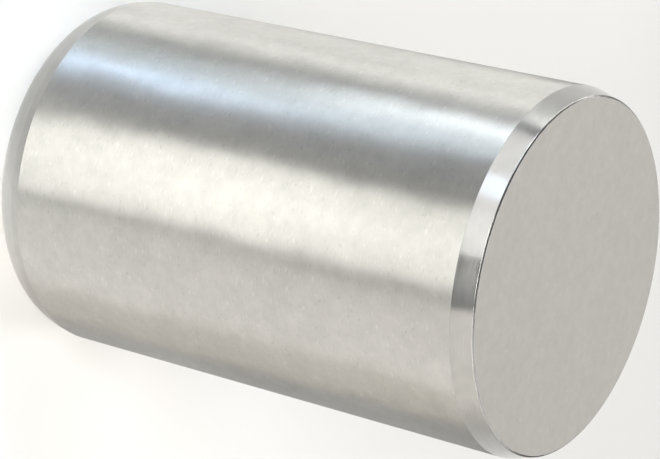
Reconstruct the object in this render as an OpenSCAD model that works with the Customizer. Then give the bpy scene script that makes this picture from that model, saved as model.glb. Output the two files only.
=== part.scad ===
// Hardened steel dowel pin: a ground cylinder with a chamfered lead end and a crowned end.
// It stands on the flat of its crowned end, with the lead end up. Millimetres, +Z along the axis,
// origin at the middle of that flat.

/* [Ground body] */
// Diameter of the ground body: 5/8 inch and a few microns over
pin_d = 15.88; // [8:0.01:25]
// Length from end to end
pin_len = 25.4; // [12:0.1:80]

/* [Lead end] */
// Length of the lead chamfer, measured along the axis
lead_len = 0.94; // [0.5:0.01:1.8]
// Angle between the lead chamfer and the axis
lead_angle = 17; // [5:0.5:30]
// Width of the broken edge between the lead chamfer and its flat face
lead_edge = 0.08; // [0.02:0.01:0.3]

/* [Crowned end] */
// Length of the short taper between the ground body and the crown, measured along the axis
taper_len = 0.4; // [0.1:0.01:1]
// Angle between that taper and the axis
taper_angle = 11; // [3:0.5:20]
// Radius of the crown, which rounds the taper over into the flat of the end
crown_r = 2; // [0.5:0.05:3]
// Angle of the faint edge that the crown leaves against the taper and against the flat
crown_edge_angle = 3; // [2:0.5:10]

/* [Hidden] */
steel = [0.73, 0.72, 0.7];
round_fn = 180;
clear = 1;
body_r = pin_d / 2;

// The crown's arc is centred at crown_x from the axis and crown_z up from the flat.
// Both are so chosen that it crosses the taper and the flat at crown_edge_angle.
crown_z = crown_r * cos(crown_edge_angle);
crown_len = taper_len + crown_z - crown_r * sin(taper_angle + crown_edge_angle);
crown_x = taper_radius(crown_z) - crown_z / cos(taper_angle);
// Height at which the arc stands furthest outside the taper's line, so that no cut ends in the metal there
crown_top = crown_z - crown_r * sin(taper_angle);

// Radius of the pin at a height z on the crowned end's taper, or where its line runs on
function taper_radius(z) = body_r - (crown_len - z) * tan(taper_angle);

// Radius of the pin at a distance d below the lead end's face
function lead_radius(d) = body_r - (lead_len - d) * tan(lead_angle);

// What the crown takes off the sharp corner between the taper and the flat
module crown_cut() {
    difference() {
        translate([crown_x, -clear])
            square([body_r - crown_x + clear, crown_top + clear]);
        translate([crown_x, crown_z])
            circle(r = crown_r, $fn = round_fn);
    }
}

// Half of the pin's section, on one side of the axis
module half_section() {
    difference() {
        polygon([
            [0, 0],
            [taper_radius(0), 0],
            [body_r, crown_len],
            [body_r, pin_len - lead_len],
            [lead_radius(lead_edge), pin_len - lead_edge],
            [lead_radius(0) - lead_edge, pin_len],
            [0, pin_len]
        ]);
        crown_cut();
    }
}

module pin() {
    color(steel)
        rotate_extrude($fn = round_fn)
            half_section();
}

pin();
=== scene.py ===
# A ground steel dowel pin. It stands on the flat of its crowned end, in plain soft studio light.
import math

import bpy
import numpy as np
from mathutils import Matrix, Quaternion, Vector


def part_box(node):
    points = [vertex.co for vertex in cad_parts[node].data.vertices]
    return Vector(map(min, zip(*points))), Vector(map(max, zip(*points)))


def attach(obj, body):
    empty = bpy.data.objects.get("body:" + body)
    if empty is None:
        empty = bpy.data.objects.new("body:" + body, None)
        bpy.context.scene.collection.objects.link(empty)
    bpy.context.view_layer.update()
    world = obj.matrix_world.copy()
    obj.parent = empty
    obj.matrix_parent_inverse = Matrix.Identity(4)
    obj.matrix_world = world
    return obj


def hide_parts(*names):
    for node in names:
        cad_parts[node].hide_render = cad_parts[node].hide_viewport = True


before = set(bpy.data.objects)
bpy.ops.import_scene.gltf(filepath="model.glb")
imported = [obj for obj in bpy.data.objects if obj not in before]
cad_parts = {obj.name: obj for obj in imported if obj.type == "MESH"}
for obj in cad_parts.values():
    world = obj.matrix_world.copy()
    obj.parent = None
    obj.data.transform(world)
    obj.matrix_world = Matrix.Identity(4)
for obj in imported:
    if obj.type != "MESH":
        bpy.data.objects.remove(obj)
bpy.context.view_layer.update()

mm = 0.001


# Camera: long lens, rolled over so that the standing pin lies across the picture
viewPlan = {
    "place": (0.0, -98.46, 76.02),   # mm, in the pin's own frame
    "aim": (0.41, 0.0, 13.32),       # mm
    "roll": 103.59,                  # degrees, turns the upright pin onto its side
    "lens": 145.19,                  # mm
    "sensor": 36.0,                  # mm wide
    "clip": (0.005, 20.0),           # m, nearest and farthest seen
}


def makeCamera(plan):
    lens = bpy.data.cameras.new("benchCamera")
    lens.lens = plan["lens"]
    lens.sensor_width = plan["sensor"]
    lens.clip_start, lens.clip_end = plan["clip"]
    camera = bpy.data.objects.new("benchCamera", lens)
    bpy.context.scene.collection.objects.link(camera)
    place = Vector(plan["place"]) * mm
    look = Vector(plan["aim"]) * mm - place
    turn = look.to_track_quat("-Z", "Y").to_matrix().to_4x4()
    roll = Matrix.Rotation(math.radians(plan["roll"]), 4, "Z")
    camera.matrix_world = Matrix.Translation(place) @ turn @ roll
    bpy.context.scene.camera = camera


# The pin: its outline turned about the axis
pinPlan = {
    "leadLength": 0.94,        # mm, chamfer at the top end
    "leadAngle": 17.0,         # degrees from the axis
    "edgeWidth": 0.09,         # mm, narrow flat that breaks the edge round the face
    "edgeAngle": 58.0,         # degrees from the radius to its normal
    "edgeCorner": 0.018,       # mm, radius where the chamfer meets it
    "rimCorner": 0.012,        # mm, radius where it meets the face
    "leadCorner": 0.03,        # mm, radius where body and chamfer meet
    "taperLength": 0.4,        # mm, short taper above the rounded crown
    "taperAngle": 11.0,        # degrees from the axis
    "taperCorner": 0.05,       # mm, radius where body and taper meet
    "crownRadius": 2.0,        # mm
    "arcStep": 2.0,            # degrees of turn between two rows of an arc
    "arcGap": 0.002,           # mm, least distance between two of its rows
    "rowGap": 0.6,             # mm between rows on straight stretches
    "sectors": 360,            # columns round the axis
}


def pinCorners(plan, radius, length):
    # Corner points of half the section, from the foot's middle to the face's middle, and the radius at each
    leadSlope = math.tan(math.radians(plan["leadAngle"]))
    taperSlope = math.tan(math.radians(plan["taperAngle"]))
    crownTop = plan["crownRadius"] * (1 - math.sin(math.radians(plan["taperAngle"])))
    shoulder = crownTop + plan["taperLength"]
    edge = math.radians(plan["edgeAngle"])
    faceRadius = radius - plan["leadLength"] * leadSlope
    down = plan["edgeWidth"] * math.cos(edge)
    inward = plan["edgeWidth"] * math.sin(edge) - down * leadSlope
    points = np.array([
        (0.0, 0.0),
        (radius - shoulder * taperSlope, 0.0),
        (radius, shoulder),
        (radius, length - plan["leadLength"]),
        (faceRadius + down * leadSlope, length - down),
        (faceRadius - inward, length),
        (0.0, length),
    ])
    rounds = [0.0]
    for name in ("crownRadius", "taperCorner", "leadCorner", "edgeCorner", "rimCorner"):
        rounds.append(plan[name])
    rounds.append(0.0)
    return points, rounds


def roundedOutline(points, rounds, arcStep, arcGap, rowGap):
    # Straight stretches joined by arcs tangent to both. An arc of radius r at a corner that turns by t
    # starts and ends r * tan(t / 2) from the corner. Each row has a place (r, z), an outward normal, and
    # the number of its stretch (even) or arc (odd), counted from the foot.
    rows, normals, stretches = [], [], []
    start = points[0]
    for i in range(1, len(points)):
        ahead = points[i] - points[i - 1]
        ahead = ahead / np.hypot(*ahead)
        outward = np.array([ahead[1], -ahead[0]])
        turn = 0.0
        if i < len(points) - 1:
            following = points[i + 1] - points[i]
            following = following / np.hypot(*following)
            cross = ahead[0] * following[1] - ahead[1] * following[0]
            turn = math.atan2(cross, ahead @ following)
        stop = points[i] - ahead * rounds[i] * math.tan(turn / 2)
        count = max(2, int(np.hypot(*(stop - start)) / rowGap) + 1)
        share = np.linspace(0, 1, count)[:, None]
        rows.append(start + (stop - start) * share)
        normals.append(np.repeat(outward[None, :], count, 0))
        stretches.append(np.full(count, 2 * (i - 1)))
        if i == len(points) - 1:
            break
        steps = max(2, int(min(abs(math.degrees(turn)) / arcStep, abs(turn) * rounds[i] / arcGap)))
        angle = np.linspace(0, turn, steps + 1)[1:-1]
        swept = np.stack([
            outward[0] * np.cos(angle) - outward[1] * np.sin(angle),
            outward[0] * np.sin(angle) + outward[1] * np.cos(angle),
        ], 1)
        centre = stop - outward * rounds[i]
        rows.append(centre + swept * rounds[i])
        normals.append(swept)
        stretches.append(np.full(len(angle), 2 * i - 1))
        start = points[i] + following * rounds[i] * math.tan(turn / 2)
    return np.concatenate(rows), np.concatenate(normals), np.concatenate(stretches)


def turnedMesh(name, rows, normals, sectors):
    # Every row but the two on the axis becomes a ring: x = r cos(a), y = r sin(a), z = z
    rings, ringNormals = rows[1:-1], normals[1:-1]
    angle = np.arange(sectors) * (2 * math.pi / sectors)
    circle = np.stack([np.cos(angle), np.sin(angle)], 1)
    flat = np.ones((len(rings), sectors, 1))
    places = np.concatenate([rings[:, None, :1] * circle[None], rings[:, None, 1:] * flat], 2)
    places = places.reshape(-1, 3)
    facing = np.concatenate([ringNormals[:, None, :1] * circle[None], ringNormals[:, None, 1:] * flat], 2)
    facing = facing.reshape(-1, 3)
    foot, face = len(places), len(places) + 1
    places = np.concatenate([places, [(0, 0, rows[0, 1]), (0, 0, rows[-1, 1])]])
    facing = np.concatenate([facing, [(0, 0, -1), (0, 0, 1)]])

    row = np.arange(len(rings) - 1)[:, None] * sectors
    here = np.arange(sectors)[None]
    beside = (here + 1) % sectors
    above = row + sectors
    quads = np.stack([row + here, row + beside, above + beside, above + here], 2).reshape(-1, 4)
    here, beside = here[0], beside[0]
    top = (len(rings) - 1) * sectors
    footFan = np.stack([np.full(sectors, foot), beside, here], 1)
    faceFan = np.stack([np.full(sectors, face), top + here, top + beside], 1)

    mesh = bpy.data.meshes.new(name)
    corners = np.concatenate([quads.ravel(), footFan.ravel(), faceFan.ravel()])
    sizes = np.concatenate([np.full(len(quads), 4), np.full(2 * sectors, 3)])
    mesh.vertices.add(len(places))
    mesh.vertices.foreach_set("co", (places * mm).ravel())
    mesh.loops.add(len(corners))
    mesh.loops.foreach_set("vertex_index", corners)
    mesh.polygons.add(len(sizes))
    mesh.polygons.foreach_set("loop_start", np.concatenate([[0], np.cumsum(sizes)[:-1]]))
    mesh.update(calc_edges=True)
    mesh.polygons.foreach_set("use_smooth", np.ones(len(sizes), bool))

    # Map for the grain: u runs along the outline, and v round the axis, reaching 1 at the seam
    along = np.concatenate([[0], np.cumsum(np.hypot(*np.diff(rows, axis=0).T))])
    along = along / along[-1]
    ringU = along[1:-1]
    rowIndex = np.repeat(np.arange(len(rings) - 1), sectors)
    column = np.tile(np.arange(sectors), len(rings) - 1)
    quadU = np.stack([ringU[rowIndex], ringU[rowIndex], ringU[rowIndex + 1], ringU[rowIndex + 1]], 1)
    quadV = np.stack([column, column + 1, column + 1, column], 1) / sectors
    fanV = np.arange(sectors)
    footU = np.tile([along[0], ringU[0], ringU[0]], (sectors, 1))
    footV = np.stack([fanV + 0.5, fanV + 1, fanV], 1) / sectors
    faceU = np.tile([along[-1], ringU[-1], ringU[-1]], (sectors, 1))
    faceV = np.stack([fanV + 0.5, fanV, fanV + 1], 1) / sectors
    mapU = np.concatenate([quadU.ravel(), footU.ravel(), faceU.ravel()])
    mapV = np.concatenate([quadV.ravel(), footV.ravel(), faceV.ravel()])
    layer = mesh.uv_layers.new(name="grain")
    layer.uv.foreach_set("vector", np.stack([mapU, mapV], 1).ravel())
    mesh.validate()
    mesh.normals_split_custom_set_from_vertices(facing)
    return mesh


def makePin(plan):
    low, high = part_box("pin")
    radius = (high.x - low.x) / 2 / mm
    length = (high.z - low.z) / mm
    points, rounds = pinCorners(plan, radius, length)
    steps = (plan["arcStep"], plan["arcGap"], plan["rowGap"])
    rows, normals, stretches = roundedOutline(points, rounds, *steps)
    mesh = turnedMesh("dowelPin", rows, normals, plan["sectors"])
    pin = bpy.data.objects.new("dowelPin", mesh)
    bpy.context.scene.collection.objects.link(pin)

    # The mesh's materials by number, and the one of each stretch and arc from foot to face. A band of faces
    # takes that of its lower row, and the two fans of the ends come last.
    body, lead, face, crown, edge, taper = range(6)
    finishOf = np.array([face, crown, taper, taper, body, lead, lead, lead, edge, edge, face])
    bands = finishOf[stretches[1:-2]]
    fans = np.full(2 * plan["sectors"], face)
    finishes = np.concatenate([np.repeat(bands, plan["sectors"]), fans])
    mesh.materials.append(bodySteel(bodyFinish))
    mesh.materials.append(turnedSteel("leadChamfer", leadFinish))
    mesh.materials.append(faceSteel(faceFinish))
    mesh.materials.append(turnedSteel("crownedEnd", crownFinish))
    mesh.materials.append(turnedSteel("brokenEdge", edgeFinish))
    mesh.materials.append(turnedSteel("groundTaper", taperFinish))
    mesh.polygons.foreach_set("material_index", finishes)
    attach(pin, "root")
    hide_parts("pin")


bodyFinish = {
    "colour": (0.493, 0.488, 0.473),
    "roughness": 0.42,           # along the pin; round it the gloss is about ten times tighter
    "anisotropy": 1.0,
    "markLength": 0.30,          # mm round the pin, length of one grinding mark
    "markWidth": 0.06,           # mm along the pin
    "markShade": 0.026,          # share by which marks lighten and darken the steel
    "markDepth": 0.0008,         # mm
    "nickSize": (0.30, 0.075),   # mm round and along the pin, sparse bright nicks
    "nickShade": 0.13,
    "pitSize": (0.16, 0.11),     # mm, sparse dull pits
    "pitShade": 0.12,
    "mottleSize": 0.5,           # mm, small patches
    "mottleShade": 0.042,
    "cloudSize": 1.2,            # mm, larger patches
    "cloudShade": 0.048,
    "waveSize": 1.6,             # mm, faint unevenness that makes the edge of a reflection wander
    "waveDepth": 0.038,          # mm
    "swellSize": 5.5,            # mm, the same over a longer reach
    "swellDepth": 0.075,         # mm
    "polishSize": 6.0,           # mm, wide patches of brighter and duller polish
    "polishGloss": 0.03,
}

leadFinish = {
    "colour": (0.55, 0.545, 0.535),
    "roughness": 0.15,
    "anisotropy": 0.0,
    "markLength": 1.1,           # mm
    "markWidth": 0.05,           # mm
    "markShade": 0.04,
    "markDepth": 0.0004,         # mm
    "mottleSize": 0.5,           # mm
    "mottleShade": 0.03,
    "waveSize": 1.2,             # mm
    "waveDepth": 0.007,          # mm
}

edgeFinish = dict(leadFinish, roughness=0.26)   # the broken edge by the face is duller than the chamfer

faceFinish = {
    "colour": (0.530, 0.517, 0.497),
    "roughness": 0.80,
    "grainSize": (0.14, 0.06),   # mm, fine matt grain, longer across the face
    "grainShade": 0.018,
    "grainDepth": 0.0008,        # mm
    "nickSize": (0.30, 0.08),    # mm, sparse short marks
    "nickShade": 0.08,
    "mottleSize": 0.5,           # mm
    "mottleShade": 0.026,
    "cloudSize": 1.6,            # mm
    "cloudShade": 0.035,
    "patchGloss": 0.03,
}

crownFinish = {
    "colour": (0.485, 0.476, 0.462),
    "roughness": 0.36,
    "anisotropy": 0.4,
    "markLength": 0.5,           # mm
    "markWidth": 0.07,           # mm
    "markShade": 0.05,
    "markDepth": 0.0008,         # mm
    "mottleSize": 0.5,           # mm
    "mottleShade": 0.03,
    "waveSize": 1.0,             # mm
    "waveDepth": 0.006,          # mm
    "paintedReflectionSize": 9.0,            # mm, wide patches of painted reflection, darker and lighter, standing in for dark floor and bright things the rounded end mirrors
    # share by which the painted reflection patches darken and lighten the steel
    "paintedReflectionShare": 0.16,
}

taperFinish = dict(crownFinish, colour=(0.45, 0.437, 0.423))   # the ground taper is a little darker: painted shade for the dark floor it mirrors by the foot


noisePlan = {
    # name: detail, and a seed that picks the place in the noise
    "bodyMarks": (1.5, 3.0),
    "bodyMottle": (1.0, 13.0),
    "bodyClouds": (2.0, 5.0),
    "bodyWaves": (0.5, 7.0),
    "bodySwell": (0.0, 21.0),
    "bodyPolish": (1.0, 9.0),
    "bodyNicks": (0.0, 11.0),
    "bodyPits": (0.0, 15.0),
    "turnedMarks": (1.0, 17.0),
    "turnedMottle": (1.0, 27.0),
    "turnedWaves": (0.5, 19.0),
    "turnedPaintedReflection": (0.0, 57.0),
    "faceGrain": (1.0, 29.0),
    "faceMottle": (1.0, 33.0),
    "faceClouds": (2.0, 23.0),
    "faceNicks": (0.0, 31.0),
}
seedShift = (1.0, 0.7, 1.3)   # how far a seed moves the noise in x, y and z
noiseRoughness = 0.55
noiseMiddle = (0.25, 0.75)    # most of a noise lies between these
noisePeak = (0.70, 0.82)      # where it rises to its few peaks
paintedReflectionEdge = (0.42, 0.58)      # the soft border of a wide painted reflection patch
markGloss = 0.1               # share by which the roughness follows the marks


def startSteel(name, finish):
    material = bpy.data.materials.new(name)
    material.use_nodes = True
    nodes, links = material.node_tree.nodes, material.node_tree.links
    shader = nodes["Principled BSDF"]
    shader.inputs["Metallic"].default_value = 1.0
    shader.inputs["Roughness"].default_value = finish["roughness"]
    anisotropy = finish.get("anisotropy", 0.0)
    shader.inputs["Anisotropic"].default_value = anisotropy
    if anisotropy:
        tangent = nodes.new("ShaderNodeTangent")   # the grain map's u direction runs along the outline
        tangent.direction_type = "UV_MAP"
        tangent.uv_map = "grain"
        links.new(tangent.outputs["Tangent"], shader.inputs["Tangent"])
    return material, nodes, links, shader


def noiseOf(nodes, links, sizes, name):
    # Noise on the object's own coordinates, each feature about sizes (x, y, z) mm long. Small in z and
    # longer in x and y draws short lines round the pin.
    detail, seed = noisePlan[name]
    place = nodes.new("ShaderNodeTexCoord")
    stretch = nodes.new("ShaderNodeMapping")
    stretch.inputs["Location"].default_value = [seed * shift for shift in seedShift]
    stretch.inputs["Scale"].default_value = [1 / (size * mm) for size in sizes]
    links.new(place.outputs["Object"], stretch.inputs["Vector"])
    noise = nodes.new("ShaderNodeTexNoise")
    noise.inputs["Scale"].default_value = 1.0
    noise.inputs["Detail"].default_value = detail
    noise.inputs["Roughness"].default_value = noiseRoughness
    links.new(stretch.outputs["Vector"], noise.inputs["Vector"])
    return noise.outputs["Fac"]


def ranged(nodes, links, value, fromLow, fromHigh, low, high, clamp=False):
    spread = nodes.new("ShaderNodeMapRange")
    spread.clamp = clamp
    spread.inputs["From Min"].default_value = fromLow
    spread.inputs["From Max"].default_value = fromHigh
    spread.inputs["To Min"].default_value = low
    spread.inputs["To Max"].default_value = high
    links.new(value, spread.inputs["Value"])
    return spread.outputs["Result"]


def around(nodes, links, value, share, middle=1.0):
    # The middle range of the noise becomes middle - share to middle + share
    return ranged(nodes, links, value, *noiseMiddle, middle - share, middle + share)


def sparse(nodes, links, sizes, name, share):
    # Zero but for the few places where the noise is high, where it rises to share
    return ranged(nodes, links, noiseOf(nodes, links, sizes, name), *noisePeak, 0.0, share, True)


def joined(nodes, links, operation, first, second):
    node = nodes.new("ShaderNodeMath")
    node.operation = operation
    links.new(first, node.inputs[0])
    links.new(second, node.inputs[1])
    return node.outputs[0]


def shaded(nodes, links, shader, colour, factor):
    # Base colour times a factor near 1
    tint = nodes.new("ShaderNodeVectorMath")
    tint.operation = "SCALE"
    tint.inputs[0].default_value = colour
    links.new(factor, tint.inputs["Scale"])
    links.new(tint.outputs["Vector"], shader.inputs["Base Color"])


def raised(nodes, links, height, depth, under=None):
    bump = nodes.new("ShaderNodeBump")
    bump.inputs["Strength"].default_value = 1.0
    bump.inputs["Distance"].default_value = depth * mm
    links.new(height, bump.inputs["Height"])
    if under:
        links.new(under, bump.inputs["Normal"])
    return bump.outputs["Normal"]


def bodySteel(finish):
    material, nodes, links, shader = startSteel("groundBody", finish)
    nickLong, nickWide = finish["nickSize"]
    pitLong, pitWide = finish["pitSize"]
    markSize = (finish["markLength"], finish["markLength"], finish["markWidth"])
    marks = noiseOf(nodes, links, markSize, "bodyMarks")
    mottle = noiseOf(nodes, links, (finish["mottleSize"],) * 3, "bodyMottle")
    clouds = noiseOf(nodes, links, (finish["cloudSize"],) * 3, "bodyClouds")
    waves = noiseOf(nodes, links, (finish["waveSize"],) * 3, "bodyWaves")
    swell = noiseOf(nodes, links, (finish["swellSize"],) * 3, "bodySwell")
    polish = noiseOf(nodes, links, (finish["polishSize"],) * 3, "bodyPolish")
    shade = joined(nodes, links, "MULTIPLY", around(nodes, links, marks, finish["markShade"]),
                   around(nodes, links, mottle, finish["mottleShade"]))
    shade = joined(nodes, links, "MULTIPLY", shade, around(nodes, links, clouds, finish["cloudShade"]))
    nicks = sparse(nodes, links, (nickLong, nickLong, nickWide), "bodyNicks", finish["nickShade"])
    pits = sparse(nodes, links, (pitLong, pitLong, pitWide), "bodyPits", finish["pitShade"])
    shade = joined(nodes, links, "ADD", shade, nicks)
    shade = joined(nodes, links, "SUBTRACT", shade, pits)
    shaded(nodes, links, shader, finish["colour"], shade)
    gloss = around(nodes, links, polish, finish["polishGloss"], finish["roughness"])
    links.new(gloss, shader.inputs["Roughness"])
    uneven = raised(nodes, links, swell, finish["swellDepth"])
    uneven = raised(nodes, links, waves, finish["waveDepth"], uneven)
    links.new(raised(nodes, links, marks, finish["markDepth"], uneven), shader.inputs["Normal"])
    return material


def turnedSteel(name, finish):
    # Chamfer or rounded end: lines that the tool left round the pin
    material, nodes, links, shader = startSteel(name, finish)
    markSize = (finish["markLength"], finish["markLength"], finish["markWidth"])
    marks = noiseOf(nodes, links, markSize, "turnedMarks")
    mottle = noiseOf(nodes, links, (finish["mottleSize"],) * 3, "turnedMottle")
    waves = noiseOf(nodes, links, (finish["waveSize"],) * 3, "turnedWaves")
    shade = joined(nodes, links, "MULTIPLY", around(nodes, links, marks, finish["markShade"]),
                   around(nodes, links, mottle, finish["mottleShade"]))
    # Painted reflection: wide darker and lighter patches, placed where the rounded end and taper mirror
    # dark floor or bright lamps
    if "paintedReflectionSize" in finish:
        patches = noiseOf(nodes, links, (finish["paintedReflectionSize"],) * 3, "turnedPaintedReflection")
        share = finish["paintedReflectionShare"]
        patches = ranged(nodes, links, patches, *paintedReflectionEdge, 1 - share, 1 + share, True)
        shade = joined(nodes, links, "MULTIPLY", shade, patches)
    shaded(nodes, links, shader, finish["colour"], shade)
    gloss = around(nodes, links, marks, finish["roughness"] * markGloss, finish["roughness"])
    links.new(gloss, shader.inputs["Roughness"])
    uneven = raised(nodes, links, waves, finish["waveDepth"])
    links.new(raised(nodes, links, marks, finish["markDepth"], uneven), shader.inputs["Normal"])
    return material


def faceSteel(finish):
    material, nodes, links, shader = startSteel("endFace", finish)
    grainLong, grainWide = finish["grainSize"]
    nickLong, nickWide = finish["nickSize"]
    grain = noiseOf(nodes, links, (grainLong, grainWide, grainWide), "faceGrain")
    mottle = noiseOf(nodes, links, (finish["mottleSize"],) * 3, "faceMottle")
    clouds = noiseOf(nodes, links, (finish["cloudSize"],) * 3, "faceClouds")
    shade = joined(nodes, links, "MULTIPLY", around(nodes, links, grain, finish["grainShade"]),
                   around(nodes, links, mottle, finish["mottleShade"]))
    shade = joined(nodes, links, "MULTIPLY", shade, around(nodes, links, clouds, finish["cloudShade"]))
    nicks = sparse(nodes, links, (nickLong, nickWide, nickWide), "faceNicks", finish["nickShade"])
    shaded(nodes, links, shader, finish["colour"], joined(nodes, links, "ADD", shade, nicks))
    gloss = around(nodes, links, clouds, finish["patchGloss"], finish["roughness"])
    links.new(gloss, shader.inputs["Roughness"])
    links.new(raised(nodes, links, grain, finish["grainDepth"]), shader.inputs["Normal"])
    return material


stagePlan = {
    "floorSize": 6.0,          # m
    "floorColour": 0.87,
    "farShadeColour": 0.58,         # painted shade: the paper greys away from the pin, so the steel mirrors darker floor
    "farFrom": 50.0,           # mm from the axis
    "farTo": 140.0,
    "nearShadeColour": 0.45,        # painted shade in front of it too, where the body mirrors the floor
    "nearFrom": 6.0,           # mm towards the camera
    "nearTo": 36.0,
    "worldLight": 0.15,
}


def makeFloor(plan):
    half = plan["floorSize"] / 2
    mesh = bpy.data.meshes.new("paleFloor")
    corners = [(-half, -half, 0), (half, -half, 0), (half, half, 0), (-half, half, 0)]
    mesh.from_pydata(corners, [], [(0, 1, 2, 3)])
    floor = bpy.data.objects.new("paleFloor", mesh)
    bpy.context.scene.collection.objects.link(floor)
    material = bpy.data.materials.new("palePaper")
    material.use_nodes = True
    nodes, links = material.node_tree.nodes, material.node_tree.links
    shader = nodes["Principled BSDF"]
    place = nodes.new("ShaderNodeTexCoord")
    away = nodes.new("ShaderNodeVectorMath")
    away.operation = "LENGTH"
    links.new(place.outputs["Object"], away.inputs[0])
    # Painted shade: the floor greys away from the pin and in front of it, darkening what the steel mirrors
    far = ranged(nodes, links, away.outputs["Value"], plan["farFrom"] * mm, plan["farTo"] * mm,
                 plan["floorColour"], plan["farShadeColour"], True)
    split = nodes.new("ShaderNodeSeparateXYZ")
    links.new(place.outputs["Object"], split.inputs[0])
    near = ranged(nodes, links, split.outputs["Y"], -plan["nearFrom"] * mm, -plan["nearTo"] * mm,
                  plan["floorColour"], plan["nearShadeColour"], True)
    links.new(joined(nodes, links, "MINIMUM", far, near), shader.inputs["Base Color"])
    shader.inputs["Roughness"].default_value = 1.0
    shader.inputs["Specular IOR Level"].default_value = 0.0
    mesh.materials.append(material)


def makeWorld(plan):
    world = bpy.data.worlds.new("studioWalls")
    bpy.context.scene.world = world
    world.use_nodes = True
    background = world.node_tree.nodes["Background"]
    background.inputs["Color"].default_value = (1, 1, 1, 1)
    background.inputs["Strength"].default_value = plan["worldLight"]


lampPlan = {
    # name: azimuth from the camera's side and elevation in degrees, width and height in m, power in W,
    # colour, and for a lamp that leans, its lean in degrees
    "front": (0.4, 21, 0.276, 0.090, 1.20, (1.00, 0.99, 0.925)),
    "window": (-68, 19, 0.145, 0.090, 0.25, (0.77, 0.93, 1.00)),
    "right": (57, 20, 0.340, 0.074, 0.79, (1.00, 0.965, 0.915)),
    "farRight": (97, 16, 0.170, 0.070, 0.155, (1.00, 0.90, 0.74)),
    "leftBack": (-119, 18, 0.250, 0.080, 0.53, (1.00, 0.99, 0.95)),
    "back": (-178, 36, 0.100, 0.150, 0.355, (1.00, 0.955, 0.95)),
    "rightBack": (124.5, 46.5, 0.430, 0.085, 0.096, (1.00, 0.99, 0.96), -60.5),
    "lowLeft": (-39.1, 4.9, 0.595, 0.042, 0.101, (1.00, 0.99, 0.97), 5.5),
    "lowGlow": (-40, 5.0, 0.080, 0.050, 0.0118, (0.65, 0.82, 1.00)),
    "lowFront": (19, 6.4, 0.110, 0.050, 0.0013, (0.80, 0.87, 1.00)),
    "lowFarLeft": (-95, 4, 0.090, 0.060, 0.105, (1.00, 1.00, 0.97)),
    "lowRight": (65.5, 2.8, 0.460, 0.044, 0.058, (1.00, 0.97, 0.89), -6.0),
}
lampDistance = 0.35   # m from the pin's middle
openSpread = 180      # degrees, a lamp without a grid

beamPlan = {
    # Close lamps behind a grid, each for one part of the pin. name: angle round the pin in degrees and
    # height in mm of the place lit, elevation in degrees, distance, width and height in m, spread in
    # degrees, power in W, colour
    "footGlow": (-29.5, 2, 20, 0.10, 0.018, 0.012, 14, 0.00026, (0.50, 0.70, 1.00)),
    "bandGlow": (-30.5, 16, 20, 0.07, 0.036, 0.012, 24, 0.00036, (0.67, 0.81, 1.00)),
    "faceStreak": (-38.5, 23, 20, 0.10, 0.020, 0.012, 12, 0.00026, (0.90, 0.95, 1.00)),
    "middleGlow": (0, 12, 26, 0.06, 0.030, 0.012, 24, 0.00026, (1.00, 0.97, 0.93)),
    "leftGlow": (-8.5, 9.5, 26, 0.06, 0.030, 0.012, 22, 0.00016, (1.00, 0.97, 0.93)),
    "rightGlow": (8.5, 10.5, 26, 0.06, 0.030, 0.012, 22, 0.00017, (1.00, 0.97, 0.93)),
}


def aimLamp(name, target, azimuth, elevation, distance, width, height, power, colour, spread, lean):
    light = bpy.data.lights.new(name, "AREA")
    light.shape = "RECTANGLE"
    light.size, light.size_y = width, height
    light.energy = power
    light.color = colour
    light.spread = math.radians(spread)
    lamp = bpy.data.objects.new(name, light)
    bpy.context.scene.collection.objects.link(lamp)
    turn, lift = math.radians(azimuth), math.radians(elevation)
    towards = Vector((math.sin(turn) * math.cos(lift), -math.cos(turn) * math.cos(lift), math.sin(lift)))
    upright = towards.to_track_quat("Z", "Y")
    lamp.rotation_euler = (upright @ Quaternion((0, 0, 1), math.radians(lean))).to_euler()
    lamp.location = target + towards * distance
    lamp.visible_camera = False


def makeLamp(name, azimuth, elevation, width, height, power, colour, lean=0):
    low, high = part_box("pin")
    middle = Vector((0, 0, (low.z + high.z) / 2))
    aimLamp(name, middle, azimuth, elevation, lampDistance, width, height, power, colour, openSpread, lean)


def makeBeam(name, angle, place, elevation, distance, width, height, spread, power, colour):
    # The place lit faces halfway between the camera and the lamp, so the lamp stands at twice its angle
    low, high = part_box("pin")
    radius = (high.x - low.x) / 2
    turn = math.radians(angle)
    target = Vector((radius * math.sin(turn), -radius * math.cos(turn), place * mm))
    aimLamp(name, target, 2 * angle, elevation, distance, width, height, power, colour, spread, 0)


makeCamera(viewPlan)
print("camera set")
makePin(pinPlan)
print("pin turned")
makeFloor(stagePlan)
makeWorld(stagePlan)
for lampName, lampValues in lampPlan.items():
    makeLamp(lampName, *lampValues)
for beamName, beamValues in beamPlan.items():
    makeBeam(beamName, *beamValues)
print("studio lit")

bpy.context.scene.view_settings.view_transform = "Standard"
